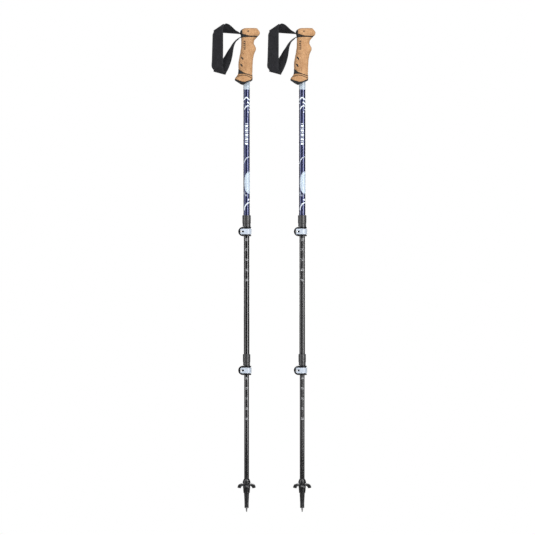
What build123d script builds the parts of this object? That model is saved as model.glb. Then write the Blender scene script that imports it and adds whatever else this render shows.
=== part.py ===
"""A pair of three-section trekking poles, planted side by side on their tips.

Heights are measured from the ground under the tips, so z = 0 is the point of each tip.
Each pole is modelled on the Z axis. Its wrist strap leaves the rear of the grip, towards -X,
and the fingers close round its front, +X. The second pole stands POLE_SPACING along +X.
"""

import math
import os

from build123d import *

POLE_SPACING = 138.0  # between the axes of the two poles

# Telescopic tubes: outer radii, one wall thickness, and where each tube starts and ends.
TUBE_WALL = 0.7
LOWER_RADIUS = 6.0
MIDDLE_RADIUS = 7.0
UPPER_RADIUS = 8.0
LOWER_TUBE_SPAN = (50.0, 490.0)
MIDDLE_TUBE_TOP = 840.0
UPPER_TUBE_TOP = 1150.0

# Guide bushes on the inner tubes' upper ends, running in the next tube.
RUNNING_GAP = 0.05
BUSH_HEAD = 14.0
BUSH_STEM = 18.0
BUSH_BORE_WALL = 1.8

# Clamps, the same on both joints of a pole apart from their bores.
LOWER_CLAMP_BASE = 339.4
UPPER_CLAMP_BASE = 683.8
COLLAR_RADIUS = 10.0
COLLAR_HEIGHT = 23.0
FLANGE_RADIUS = 11.5
FLANGE_HEIGHT = 3.2
SLEEVE_WALL_LOWER = 2.2
SLEEVE_WALL_UPPER = 2.5
SLEEVE_LENGTH = 29.0
SLEEVE_STEP = 0.6  # the sleeve is this much slimmer just above the collar
RELIEF_HEIGHT = 0.8  # slot that frees the split collar from the sleeve
TUBE_SEAT = COLLAR_HEIGHT + RELIEF_HEIGHT + 1.0
EAR_HALF_THICKNESS = 6.0
EAR_CENTRE_X = -9.2
SLIT_WIDTH = 2.0

# The clamp's bolt, its nut, and the lever with its cam.
CLAMP_MID = COLLAR_HEIGHT / 2
BOLT_X = -13.2
BOLT_RADIUS = 1.9
BOLT_HOLE = 2.0
SADDLE_THICKNESS = 0.8
SADDLE_REACH = 3.0
CAM_RADIUS = 3.0
CAM_OFFSET = 0.35
CAM_GAP = 0.1
PIVOT_Y = -(EAR_HALF_THICKNESS + SADDLE_THICKNESS + CAM_RADIUS + CAM_OFFSET + CAM_GAP)
PIN_RADIUS = 1.5
EYE_RADIUS = 2.9
EYE_HEIGHT = 4.0
LEVER_HEIGHT = 13.8
LEVER_REAR_X = -16.4
LEVER_CORNER = 4.2
LEVER_PIN_LENGTH = 10.8
LEVER_INNER = 10.4
LEVER_OUTER = 12.2
LEVER_START_DEG = -125.0
LEVER_END_DEG = 10.0
FORK_GAP = 4.4
FORK_END_X = -6.5
NUT_RADIUS = 5.2
NUT_LENGTH = 5.0
NUT_GROOVES = 14

# Flexible tip, with its steel ferrule and carbide point.
POINT_LENGTH = 3.6
POINT_RADIUS = 1.4
FERRULE_TOP = 24.0
FERRULE_RADIUS = 2.2
TIP_BOTTOM = 9.6
LAND_RADIUS = 5.2
LAND_TOP = 22.0
THREAD_SPAN = (47.0, 71.6)
THREAD_RADIUS = 7.2
THREAD_ROOT = 6.8
THREAD_PITCH = 4.0
SHOULDER_RADIUS = 9.7
SHOULDER_TOP = 73.2
SHOULDER_FLUTES = 8
TIP_TOP = 81.8

# Trekking basket.
BASKET_RADIUS = 23.4
BASKET_LOBES = 6
SCALLOP_AT = 23.6
SCALLOP_RADIUS = 6.0
HUB_SPAN = (47.0, 71.3)
HUB_RADIUS = 9.0
HUB_FOOT_RADIUS = 7.9
HUB_BORE = THREAD_RADIUS + RUNNING_GAP
RIB_SPAN = (49.0, 62.0)
RIB_REACH = (8.5, 9.8)

# Grip: height, rear, front and half-width of the sections that its outer form runs through.
GRIP_SECTIONS = [
    (1056.0, -28.0, 13.6, 15.5),
    (1072.0, -29.2, 14.6, 17.0),
    (1080.0, -25.6, 14.8, 15.6),
    (1088.0, -21.2, 14.4, 14.3),
    (1101.0, -20.6, 14.9, 14.0),
    (1115.0, -20.5, 15.5, 14.2),
    (1128.0, -18.2, 17.0, 14.2),
    (1140.0, -15.8, 20.4, 14.0),
    (1148.0, -14.2, 23.6, 13.8),
    (1156.0, -13.6, 20.6, 13.5),
    (1165.0, -13.4, 18.0, 13.3),
    (1174.0, -13.6, 22.6, 14.0),
    (1180.0, -14.8, 28.2, 15.2),
    (1187.0, -15.7, 33.0, 16.0),
    (1193.0, -14.2, 31.2, 15.2),
    (1197.0, -11.4, 28.0, 13.0),
    (1200.0, -4.6, 24.6, 9.6),
]

CORE_RADIUS = 9.6
CORE_SPAN = (1064.0, 1140.0)

# Side-view lines (x, z) where one layer of the grip ends and the next begins, rear to front.
GRIP_REACH = 40.0
RIM_BASE = [(-GRIP_REACH, 1075.2), (-9.2, 1060.0), (GRIP_REACH, 1083.4)]
FOOT_BASE = [(-GRIP_REACH, 1077.6), (-5.5, 1066.2), (GRIP_REACH, 1082.4)]
INLAY_BASE = [(-GRIP_REACH, 1085.0), (-9.0, 1086.2), (-1.0, 1084.6), (GRIP_REACH, 1073.8)]
BODY_BASE = [(-GRIP_REACH, 1113.0), (-9.0, 1089.9), (-1.0, 1086.8), (GRIP_REACH, 1074.8)]
COLLAR_BASE = [(-GRIP_REACH, 1176.0), (GRIP_REACH, 1176.0)]
HEAD_BASE = [(-GRIP_REACH, 1190.2), (-12.0, 1185.0), (2.5, 1180.4), (GRIP_REACH, 1178.4)]
HEAD_TOP = [(-GRIP_REACH, 1210.0), (GRIP_REACH, 1210.0)]

# Strap channel through the rear of the collar and the head, its wedge and its cross pin.
CHANNEL_HALF_WIDTH = 8.7
MOUTH_SPAN = (1177.3, 1188.7)
MOUTH_X = (-22.0, -9.2)
CHAMBER_X = (-9.2, 8.0)
CHAMBER_TOP = 1194.6
WEDGE_GAP = 0.25
WEDGE_TOP = 1197.4
STRAP_PIN_AT = (4.0, 1191.2)
STRAP_PIN_RADIUS = 1.6
STRAP_PIN_HALF_LENGTH = 13.2
STRAP_TAIL = [(-12.8, 1186.8), (0.5, 1191.0), (3.2, 1193.6), (5.6, 1192.6), (5.2, 1189.0), (-12.8, 1179.6)]
STRAP_TAIL_WIDTH = 15.0

# Wrist strap: rulings across the webbing as pairs of edge points (x, y, z), outer edge first.
STRAP_THICKNESS = 2.0
FOLD_STEPS = 6
TOP_RUN = [
    ((-16.2, -7.5, 1187.1), (-16.2, 7.5, 1186.9)),
    ((-21.0, -8.0, 1190.4), (-21.6, 8.0, 1186.8)),
    ((-27.7, -8.5, 1194.6), (-29.3, 9.5, 1187.4)),
    ((-32.8, -8.2, 1199.5), (-38.2, 10.5, 1188.0)),
    ((-37.9, -7.0, 1204.5), (-47.0, 10.5, 1188.6)),
    ((-44.2, -3.5, 1209.6), (-58.0, 9.0, 1189.2)),
    ((-51.0, 0.0, 1211.8), (-71.0, 5.6, 1189.8)),
]
TOP_FOLD = ((-56.0, 1209.4), (-81.4, 1192.0))
TOP_FOLD_RADIUS = 2.1
FRONT_RUN = [
    ((-57.8, -2.4, 1198.0), (-84.2, -2.4, 1184.5)),
    ((-58.1, -2.8, 1180.0), (-84.7, -2.8, 1174.0)),
    ((-58.1, -3.0, 1150.0), (-85.4, -3.0, 1150.0)),
    ((-58.2, -3.2, 1120.0), (-86.3, -3.2, 1120.0)),
    ((-57.4, -3.5, 1098.0), (-86.6, -3.5, 1103.5)),
]
BOTTOM_FOLD = ((-51.6, 1087.1), (-81.7, 1095.3))
BOTTOM_FOLD_RADIUS = 3.6
RETURN_RUN = [
    ((-45.4, -0.6, 1099.0), (-73.0, 6.0, 1110.0)),
    ((-39.4, -4.8, 1114.4), (-62.0, 9.0, 1121.0)),
    ((-35.6, -8.6, 1129.0), (-54.8, 9.8, 1130.6)),
    ((-33.6, -9.8, 1142.0), (-47.4, 9.8, 1143.2)),
    ((-31.9, -9.9, 1152.5), (-40.6, 9.4, 1152.8)),
    ((-29.6, -9.4, 1160.2), (-35.7, 8.8, 1160.4)),
    ((-26.2, -8.8, 1166.6), (-30.3, 8.3, 1167.2)),
    ((-20.6, -8.2, 1171.8), (-23.6, 8.0, 1173.2)),
    ((-16.2, -7.5, 1176.6), (-16.2, 7.5, 1177.6)),
]

STANDING = (Align.CENTER, Align.CENTER, Align.MIN)


def rod(radius, low, high):
    """A cylinder on the pole's axis between two heights."""
    return Pos(0, 0, low) * Cylinder(radius, high - low, align=STANDING)


def cross_rod(radius, x, z, y_low, y_high):
    """A cylinder that runs front to back, along Y."""
    return Pos(x, (y_low + y_high) / 2, z) * Rot(90, 0, 0) * Cylinder(radius, y_high - y_low)


def block(x_span, y_span, z_span):
    """A box between two values on each axis."""
    middle = [(low + high) / 2 for low, high in (x_span, y_span, z_span)]
    return Pos(*middle) * Box(*[high - low for low, high in (x_span, y_span, z_span)])


def side_slab(outline, half_depth):
    """A side-view outline of (x, z) points, as thick as the depth to each side of the pole's plane."""
    face = Plane.XZ * make_face(Polyline(*outline, close=True))
    return extrude(face, half_depth, both=True)


def turned(*edges):
    """The solid of revolution of an (r, z) outline about the pole's axis."""
    return revolve(Plane.XZ * make_face(list(edges)), Axis.Z)


# Tubes and bushes


def tube(radius, low, high):
    """A thin-walled tube."""
    return rod(radius, low, high) - rod(radius - TUBE_WALL, low, high)


def guide_bush(inner_radius, outer_radius, tube_top):
    """Plug in an inner tube's upper end, whose head slides in the tube outside it."""
    stem_radius = inner_radius - TUBE_WALL
    head_radius = outer_radius - TUBE_WALL - RUNNING_GAP
    stem = rod(stem_radius, tube_top - BUSH_STEM, tube_top)
    head = chamfer(rod(head_radius, tube_top, tube_top + BUSH_HEAD).edges(), 0.5)
    bore = rod(stem_radius - BUSH_BORE_WALL, tube_top - BUSH_STEM, tube_top + BUSH_HEAD)
    return stem + head - bore


# Clamps, each standing on z = 0 until it is placed


def clamp_body(inner_radius, outer_radius, sleeve_wall):
    """Sleeve on the outer tube's end, and the split collar with two ears that grips the inner tube."""
    sleeve_radius = outer_radius + sleeve_wall
    sleeve_top = COLLAR_HEIGHT + SLEEVE_LENGTH
    step_height = COLLAR_HEIGHT + SLEEVE_LENGTH * 0.3
    collar = rod(COLLAR_RADIUS, 0, COLLAR_HEIGHT)
    collar += chamfer(rod(FLANGE_RADIUS, 0, FLANGE_HEIGHT).edges(), 0.6)
    collar += chamfer(rod(FLANGE_RADIUS, COLLAR_HEIGHT - FLANGE_HEIGHT, COLLAR_HEIGHT).edges(), 0.6)
    ear_outline = Pos(EAR_CENTRE_X, CLAMP_MID) * Circle(CLAMP_MID)
    ear_outline += Pos(EAR_CENTRE_X / 2, CLAMP_MID) * Rectangle(-EAR_CENTRE_X, COLLAR_HEIGHT)
    ears = extrude(Plane.XZ * ear_outline, EAR_HALF_THICKNESS, both=True)
    sleeve = rod(sleeve_radius - SLEEVE_STEP, COLLAR_HEIGHT, step_height)
    sleeve += chamfer(rod(sleeve_radius, step_height, sleeve_top).edges(), 0.5)
    body = collar + ears + sleeve
    body -= rod(inner_radius + RUNNING_GAP, 0, TUBE_SEAT)
    body -= rod(outer_radius, TUBE_SEAT, sleeve_top)
    far = 2 * COLLAR_HEIGHT
    slit = (-SLIT_WIDTH / 2, SLIT_WIDTH / 2)
    body -= block((-far, 0), slit, (0, COLLAR_HEIGHT + RELIEF_HEIGHT))
    relief = (COLLAR_HEIGHT, COLLAR_HEIGHT + RELIEF_HEIGHT)
    body -= block((-far, SLIT_WIDTH), (-far, far), relief)
    return body - cross_rod(BOLT_HOLE, BOLT_X, CLAMP_MID, -far, far)


def clamp_saddle():
    """Steel plate between the lever's cam and the front ear."""
    front = -EAR_HALF_THICKNESS - SADDLE_THICKNESS
    z_span = (CLAMP_MID - SADDLE_REACH, CLAMP_MID + SADDLE_REACH)
    plate = block((BOLT_X - SADDLE_REACH, BOLT_X + SADDLE_REACH), (front, -EAR_HALF_THICKNESS), z_span)
    return plate - cross_rod(BOLT_HOLE, BOLT_X, CLAMP_MID, 2 * front, 0)


def clamp_bolt():
    """Eye bolt through both ears: the eye holds the lever's pin in front, and the nut goes on behind."""
    pivot = Pos(BOLT_X, PIVOT_Y, CLAMP_MID)
    eye = pivot * Cylinder(EYE_RADIUS, EYE_HEIGHT)
    rear_end = EAR_HALF_THICKNESS + NUT_LENGTH + 1.5
    shank = cross_rod(BOLT_RADIUS, BOLT_X, CLAMP_MID, PIVOT_Y, rear_end)
    return eye + shank - pivot * Cylinder(PIN_RADIUS, COLLAR_HEIGHT)


def lever_pin():
    """Upright pin that the lever turns on."""
    return Pos(BOLT_X, PIVOT_Y, CLAMP_MID) * Cylinder(PIN_RADIUS, LEVER_PIN_LENGTH)


def clamp_lever():
    """Lever that wraps round the front of the collar, forked over the bolt's eye, with a cam on its pivot."""
    sweep_degrees = LEVER_END_DEG - LEVER_START_DEG
    outer = CenterArc((0, 0), LEVER_OUTER, LEVER_START_DEG, sweep_degrees)
    inner = CenterArc((0, 0), LEVER_INNER, LEVER_START_DEG, sweep_degrees)
    plan = make_face([outer, Line(outer @ 1, inner @ 1), inner, Line(inner @ 0, outer @ 0)])
    cam_y = PIVOT_Y + CAM_OFFSET
    plan += Pos(BOLT_X, cam_y) * Circle(CAM_RADIUS)
    bridge = [(BOLT_X, cam_y - CAM_RADIUS), outer @ 0.2, inner @ 0.2, inner @ 0, (BOLT_X, cam_y + 2.4)]
    plan += make_face(Polyline(*bridge, close=True))
    lever = Pos(0, 0, CLAMP_MID) * extrude(plan, LEVER_HEIGHT / 2, both=True)
    length = 4 * LEVER_OUTER
    outline = RectangleRounded(length, LEVER_HEIGHT, LEVER_CORNER)
    outline = Pos(LEVER_REAR_X + length / 2, CLAMP_MID) * outline
    lever &= extrude(Plane.XZ * outline, 2 * LEVER_OUTER, both=True)
    fork = (CLAMP_MID - FORK_GAP / 2, CLAMP_MID + FORK_GAP / 2)
    lever -= block((-40, FORK_END_X), (-40, 40), fork)
    return lever - Pos(BOLT_X, PIVOT_Y, CLAMP_MID) * Cylinder(PIN_RADIUS + RUNNING_GAP, COLLAR_HEIGHT)


def clamp_nut():
    """Grooved thumb nut behind the ears, which sets the clamp's force."""
    front = EAR_HALF_THICKNESS + 0.15
    nut = cross_rod(NUT_RADIUS, BOLT_X, CLAMP_MID, front, front + NUT_LENGTH)
    nut = chamfer(nut.edges(), 0.5)
    for i in range(NUT_GROOVES):
        angle = 2 * math.pi * i / NUT_GROOVES
        x = BOLT_X + NUT_RADIUS * math.cos(angle)
        z = CLAMP_MID + NUT_RADIUS * math.sin(angle)
        nut -= cross_rod(0.6, x, z, front - 1, front + NUT_LENGTH + 1)
    return nut - cross_rod(BOLT_RADIUS + RUNNING_GAP, BOLT_X, CLAMP_MID, 0, 4 * NUT_LENGTH)


# Tip and basket


def flexible_tip():
    """Plastic tip: a land for a rubber foot, a cone, the basket's thread, and the socket of the lower tube."""
    outline = Polyline(
        (FERRULE_RADIUS, TIP_BOTTOM),
        (LAND_RADIUS, TIP_BOTTOM),
        (LAND_RADIUS, LAND_TOP),
        (6.4, THREAD_SPAN[0]),
        (THREAD_ROOT, THREAD_SPAN[0]),
        (THREAD_ROOT, THREAD_SPAN[1]),
        (SHOULDER_RADIUS, THREAD_SPAN[1]),
        (SHOULDER_RADIUS, SHOULDER_TOP),
    )
    bulge = ThreePointArc((SHOULDER_RADIUS, SHOULDER_TOP), (8.6, 77.4), (LOWER_RADIUS + 0.3, TIP_TOP))
    inside = Polyline(
        (LOWER_RADIUS + 0.3, TIP_TOP),
        (LOWER_RADIUS, TIP_TOP),
        (LOWER_RADIUS, LOWER_TUBE_SPAN[0]),
        (0, LOWER_TUBE_SPAN[0]),
        (0, FERRULE_TOP),
        (FERRULE_RADIUS, FERRULE_TOP),
        (FERRULE_RADIUS, TIP_BOTTOM),
    )
    tip = turned(outline, bulge, inside)
    threads = int((THREAD_SPAN[1] - THREAD_SPAN[0]) / THREAD_PITCH)
    for i in range(threads):
        low = THREAD_SPAN[0] + 1.0 + i * THREAD_PITCH
        tip += rod(THREAD_RADIUS, low, low + 1.6) - rod(LOWER_RADIUS + 0.5, low, low + 1.6)
    for i in range(SHOULDER_FLUTES):
        tip -= Rot(0, 0, (i + 0.5) * 360 / SHOULDER_FLUTES) * Pos(SHOULDER_RADIUS + 0.4, 0, 78) * Cylinder(1.3, 9)
    return tip


def tip_ferrule():
    """Steel holder of the carbide point, moulded into the plastic tip."""
    bottom_radius = POINT_RADIUS + 0.3
    outline = Polyline(
        (POINT_RADIUS, POINT_LENGTH),
        (bottom_radius, POINT_LENGTH),
        (FERRULE_RADIUS, TIP_BOTTOM - 1.6),
        (FERRULE_RADIUS, FERRULE_TOP),
        (0, FERRULE_TOP),
        (0, 3 * POINT_LENGTH),
        (POINT_RADIUS, 3 * POINT_LENGTH),
        close=True,
    )
    return turned(outline)


def carbide_point():
    """Hard point with a hollow end that bites into rock."""
    point = chamfer(rod(POINT_RADIUS, 0, 3 * POINT_LENGTH).edges().sort_by(Axis.Z)[0], 0.3)
    return point - Cone(0.9, 0, 0.9, align=STANDING)


def basket():
    """Small trekking basket: a threaded hub with ribs, and an umbrella of lobes with a window in each."""
    top = ThreePointArc((HUB_RADIUS, 70.6), (17.6, 69.2), (BASKET_RADIUS, 60.4))
    bottom = ThreePointArc((BASKET_RADIUS - 2.8, 59.2), (15.6, 66.4), (HUB_RADIUS, 67.6))
    rim = Line((BASKET_RADIUS, 60.4), (BASKET_RADIUS - 2.8, 59.2))
    inner = Line((HUB_RADIUS, 67.6), (HUB_RADIUS, 70.6))
    umbrella = turned(top, rim, bottom, inner)
    foot, shoulder = RIB_SPAN
    hub = turned(
        Polyline(
            (0, HUB_SPAN[0]),
            (HUB_FOOT_RADIUS, HUB_SPAN[0]),
            (HUB_FOOT_RADIUS, foot),
            (HUB_RADIUS, shoulder),
            (HUB_RADIUS, HUB_SPAN[1]),
            (0, HUB_SPAN[1]),
            close=True,
        )
    )
    rib_reach = Pos(0, 0, foot) * Cone(*RIB_REACH, shoulder - foot, align=STANDING)
    step = 360 / BASKET_LOBES
    for i in range(BASKET_LOBES):
        lobe = Rot(0, 0, (i + 0.5) * step)
        hub += lobe * block((0, 2 * HUB_RADIUS), (-1.1, 1.1), RIB_SPAN) & rib_reach
        umbrella -= lobe * Pos(13.6, 0, 65) * Box(3.6, 3.8, 20)
        umbrella -= Rot(0, 0, i * step) * Pos(SCALLOP_AT, 0, 65) * Cylinder(SCALLOP_RADIUS, 20)
    return umbrella + hub - rod(HUB_BORE, 40, 80)


# Grip


def grip_form():
    """The whole outer form of the grip, before it is divided into layers."""
    sections = []
    for height, rear, front, half_width in GRIP_SECTIONS:
        oval = Ellipse((front - rear) / 2, half_width)
        sections.append(Pos((front + rear) / 2, 0, height) * oval)
    return loft(sections)


def grip_layer(form, low_line, high_line):
    """The part of the form between two side-view lines."""
    return form & side_slab(low_line + high_line[::-1], 2 * GRIP_REACH)


def grip_core(form):
    """Rubber sleeve under the cork, with the rim below the foot and the inlay above it."""
    sleeve = rod(CORE_RADIUS, *CORE_SPAN)
    return sleeve + grip_layer(form, RIM_BASE, FOOT_BASE) + grip_layer(form, INLAY_BASE, BODY_BASE)


def strap_channel():
    """The space inside the head and collar that the strap and its wedge take up."""
    across = (-CHANNEL_HALF_WIDTH, CHANNEL_HALF_WIDTH)
    mouth = block(MOUTH_X, across, MOUTH_SPAN)
    chamber = block(CHAMBER_X, across, (MOUTH_SPAN[0], CHAMBER_TOP))
    wedge_slot = block(MOUTH_X, across, (MOUTH_SPAN[1], HEAD_TOP[0][1]))
    return mouth + chamber + wedge_slot


def strap_wedge(form):
    """Wedge in the rear of the head, pressed on the strap; lifting it frees the strap."""
    side = CHANNEL_HALF_WIDTH - WEDGE_GAP
    x_span = (MOUTH_X[0], MOUTH_X[1] - WEDGE_GAP)
    return form & block(x_span, (-side, side), (MOUTH_SPAN[1] + WEDGE_GAP, WEDGE_TOP))


def strap_pin():
    """Steel pin across the head that the strap's inner end goes round."""
    return cross_rod(STRAP_PIN_RADIUS, *STRAP_PIN_AT, -STRAP_PIN_HALF_LENGTH, STRAP_PIN_HALF_LENGTH)


def strap_tail():
    """The strap's inner end: a narrow band from the mouth, round the pin and back."""
    band = trace(Polyline(*STRAP_TAIL), STRAP_THICKNESS * 0.6)
    tail = extrude(Plane.XZ * band, STRAP_TAIL_WIDTH / 2, both=True)
    return tail - cross_rod(STRAP_PIN_RADIUS, *STRAP_PIN_AT, -GRIP_REACH, GRIP_REACH)


# Wrist strap


def fold(crease, radius, back_to_front, outward):
    """Rulings that carry the webbing round a crease, from one layer to the other."""
    (x1, z1), (x2, z2) = crease
    rulings = []
    for i in range(FOLD_STEPS + 1):
        angle = math.pi * i / FOLD_STEPS
        depth = radius * math.cos(angle) * (1 if back_to_front else -1)
        out_x = outward[0] * radius * math.sin(angle)
        out_z = outward[1] * radius * math.sin(angle)
        rulings.append(((x1 + out_x, depth, z1 + out_z), (x2 + out_x, depth, z2 + out_z)))
    return rulings


def outward_from(crease, upwards):
    """Unit (x, z) direction square to a crease, to its upper or its lower side."""
    (x1, z1), (x2, z2) = crease
    length = math.hypot(x2 - x1, z2 - z1)
    normal = ((z2 - z1) / length, (x1 - x2) / length)
    return normal if (normal[1] > 0) == upwards else (-normal[0], -normal[1])


def strap_rulings():
    """All rulings of the strap's free loop, from its upper root to its lower root."""
    top = fold(TOP_FOLD, TOP_FOLD_RADIUS, True, outward_from(TOP_FOLD, True))
    bottom = fold(BOTTOM_FOLD, BOTTOM_FOLD_RADIUS, False, outward_from(BOTTOM_FOLD, False))
    return TOP_RUN + top + FRONT_RUN + bottom + RETURN_RUN


def wrist_strap():
    """Webbing loop, twisted edge-on at the grip, folded over at the top and at the bottom."""
    rulings = [(Vector(*a), Vector(*b)) for a, b in strap_rulings()]
    corners = []
    for i, (a, b) in enumerate(rulings):
        before = rulings[max(i - 1, 0)]
        after = rulings[min(i + 1, len(rulings) - 1)]
        along = (after[0] + after[1]) - (before[0] + before[1])
        normal = along.cross(b - a).normalized() * (STRAP_THICKNESS / 2)
        corners.append((a + normal, b + normal, b - normal, a - normal))
    faces = [Face(Wire.make_polygon(corners[0])), Face(Wire.make_polygon(corners[-1][::-1]))]
    for ring, following in zip(corners, corners[1:]):
        for k in range(4):
            p, q = ring[k], ring[(k + 1) % 4]
            r, s = following[(k + 1) % 4], following[k]
            faces.append(Face(Wire.make_polygon([p, q, r])))
            faces.append(Face(Wire.make_polygon([p, r, s])))
    return Solid(Shell(faces))


# Assembly


def grip_pieces():
    """The grip's layers and the strap's fittings, by name."""
    form = grip_form()
    bore = rod(UPPER_RADIUS, 1000, UPPER_TUBE_TOP)
    core_space = rod(CORE_RADIUS, *CORE_SPAN)
    channel = strap_channel()
    pin_hole = cross_rod(STRAP_PIN_RADIUS, *STRAP_PIN_AT, -GRIP_REACH, GRIP_REACH)
    return {
        "grip_core": grip_core(form) - bore,
        "grip_foot": grip_layer(form, FOOT_BASE, INLAY_BASE) - core_space,
        "grip_body": grip_layer(form, BODY_BASE, COLLAR_BASE) - core_space - bore,
        "grip_collar": grip_layer(form, COLLAR_BASE, HEAD_BASE) - channel,
        "grip_head": grip_layer(form, HEAD_BASE, HEAD_TOP) - channel - pin_hole,
        "strap_wedge": strap_wedge(form),
        "strap_pin": strap_pin(),
        "strap_tail": strap_tail(),
        "wrist_strap": wrist_strap(),
    }


def clamp_pieces(name, base, inner_radius, outer_radius, sleeve_wall):
    """One clamp's pieces, by name, lifted to the clamp's height."""
    pieces = {
        "clamp_body": clamp_body(inner_radius, outer_radius, sleeve_wall),
        "clamp_saddle": clamp_saddle(),
        "clamp_bolt": clamp_bolt(),
        "clamp_lever": clamp_lever(),
        "lever_pin": lever_pin(),
        "clamp_nut": clamp_nut(),
    }
    return {f"{name}_{piece}": Pos(0, 0, base) * shape for piece, shape in pieces.items()}


def pole_pieces():
    """Every piece of one pole, by name."""
    middle_bottom = LOWER_CLAMP_BASE + TUBE_SEAT
    upper_bottom = UPPER_CLAMP_BASE + TUBE_SEAT
    return {
        "carbide_point": carbide_point(),
        "tip_ferrule": tip_ferrule(),
        "flexible_tip": flexible_tip(),
        "basket": basket(),
        "lower_tube": tube(LOWER_RADIUS, *LOWER_TUBE_SPAN),
        "lower_guide_bush": guide_bush(LOWER_RADIUS, MIDDLE_RADIUS, LOWER_TUBE_SPAN[1]),
        "middle_tube": tube(MIDDLE_RADIUS, middle_bottom, MIDDLE_TUBE_TOP),
        "middle_guide_bush": guide_bush(MIDDLE_RADIUS, UPPER_RADIUS, MIDDLE_TUBE_TOP),
        "upper_tube": tube(UPPER_RADIUS, upper_bottom, UPPER_TUBE_TOP),
        **clamp_pieces("lower", LOWER_CLAMP_BASE, LOWER_RADIUS, MIDDLE_RADIUS, SLEEVE_WALL_LOWER),
        **clamp_pieces("upper", UPPER_CLAMP_BASE, MIDDLE_RADIUS, UPPER_RADIUS, SLEEVE_WALL_UPPER),
        **grip_pieces(),
    }


os.makedirs("parts", exist_ok=True)
for piece_name, piece in pole_pieces().items():
    export_step(piece, f"parts/left_{piece_name}.step")
    export_step(Pos(POLE_SPACING, 0, 0) * piece, f"parts/right_{piece_name}.step")
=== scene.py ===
"""Looks of a pair of trekking poles. Lengths in the tables are millimetres in one pole's own space: the
pole stands on its tip at z = 0 with its axis on x = y = 0. Both poles share every mesh.
"""

import math

import bmesh
import bpy
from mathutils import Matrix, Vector

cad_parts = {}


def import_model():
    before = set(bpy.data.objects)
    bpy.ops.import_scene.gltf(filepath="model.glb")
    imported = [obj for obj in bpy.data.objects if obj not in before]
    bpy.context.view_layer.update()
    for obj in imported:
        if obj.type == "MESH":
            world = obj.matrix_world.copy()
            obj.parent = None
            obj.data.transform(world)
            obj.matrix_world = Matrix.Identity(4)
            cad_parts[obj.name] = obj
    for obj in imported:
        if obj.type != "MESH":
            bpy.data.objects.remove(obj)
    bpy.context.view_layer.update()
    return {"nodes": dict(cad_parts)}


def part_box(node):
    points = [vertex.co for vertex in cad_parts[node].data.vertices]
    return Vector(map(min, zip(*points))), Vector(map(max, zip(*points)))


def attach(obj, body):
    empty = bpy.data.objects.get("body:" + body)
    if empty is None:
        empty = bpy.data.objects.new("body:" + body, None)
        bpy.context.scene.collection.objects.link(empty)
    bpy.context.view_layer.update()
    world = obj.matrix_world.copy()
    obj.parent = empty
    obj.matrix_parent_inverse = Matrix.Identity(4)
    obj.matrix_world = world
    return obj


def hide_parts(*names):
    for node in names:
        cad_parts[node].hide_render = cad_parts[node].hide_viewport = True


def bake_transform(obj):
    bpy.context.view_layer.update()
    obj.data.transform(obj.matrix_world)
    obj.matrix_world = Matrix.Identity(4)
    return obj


MM = 0.001

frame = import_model()


def middle_x(node):
    """The x of a CAD node's middle, in metres."""
    low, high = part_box(node)
    return (low.x + high.x) / 2


def span(node, axis):
    """Lowest and highest millimetre of a left-hand CAD node along one axis."""
    low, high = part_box(f"left_{node}")
    return low[axis] / MM, high[axis] / MM


POLES = {"left": middle_x("left_upper_tube"), "right": middle_x("right_upper_tube")}
UPPER_BOTTOM, UPPER_TOP = span("upper_tube", 2)
MIDDLE_BOTTOM, MIDDLE_TOP = span("middle_tube", 2)
LOWER_BOTTOM, LOWER_TOP = span("lower_tube", 2)
UPPER_RADIUS = span("upper_tube", 0)[1]
MIDDLE_RADIUS = span("middle_tube", 0)[1]
LOWER_RADIUS = span("lower_tube", 0)[1]
GRIP_TOP = span("grip_head", 2)[1]

# Meshes and objects


def add_object(name, data):
    """A new object in the scene."""
    obj = bpy.data.objects.new(name, data)
    bpy.context.scene.collection.objects.link(obj)
    return obj


def mesh_of(name, points, faces, material, smooth_below=40, uvs=None):
    """A mesh from millimetre points; edges sharper than smooth_below degrees stay crisp."""
    mesh = bpy.data.meshes.new(name)
    mesh.from_pydata([(x * MM, y * MM, z * MM) for x, y, z in points], [], faces)
    if uvs:
        layer = mesh.uv_layers.new(name="cloth")
        for loop in mesh.loops:
            layer.data[loop.index].uv = uvs[loop.vertex_index]
    mesh.validate()
    outward = bmesh.new()
    outward.from_mesh(mesh)
    bmesh.ops.recalc_face_normals(outward, faces=outward.faces)
    outward.to_mesh(mesh)
    outward.free()
    mesh.materials.append(material)
    mesh.shade_smooth()
    mesh.set_sharp_from_angle(angle=math.radians(smooth_below))
    return mesh


def show(name, mesh, body, nodes=()):
    """Puts the mesh on both poles, riding on a body and standing for CAD nodes."""
    for side, x in POLES.items():
        obj = add_object(f"{side}_{name}_look", mesh)
        obj.location.x = x
        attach(obj, f"{side}_{body}")
        if nodes:
            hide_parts(*[f"{side}_{node}" for node in nodes])


def paint(piece, material):
    """Gives a CAD node of both poles its finish."""
    for side in POLES:
        obj = frame["nodes"][f"{side}_{piece}"]
        obj.data.materials.clear()
        obj.data.materials.append(material)


def grid_faces(rings, around, first=0, closed=True):
    """Quads between rings of points, each ring `around` points long, from point `first` on."""
    faces = []
    for i in range(rings - 1):
        low = first + i * around
        high = low + around
        for j in range(around if closed else around - 1):
            k = (j + 1) % around
            faces.append((low + j, low + k, high + k, high + j))
    return faces


def tube_faces(rings, around, first=0):
    """The quads of a tube of rings, and the two faces that close its ends."""
    last = first + (rings - 1) * around
    ends = [tuple(range(start, start + around)) for start in (first, last)]
    return grid_faces(rings, around, first) + ends


def lathe(profile, around=96):
    """Points and faces of a closed (r, z) outline turned about the pole's axis."""
    points = []
    for r, z in profile + profile[:1]:
        for j in range(around):
            angle = 2 * math.pi * j / around
            points.append((r * math.sin(angle), -r * math.cos(angle), z))
    return points, grid_faces(len(profile) + 1, around)


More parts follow.
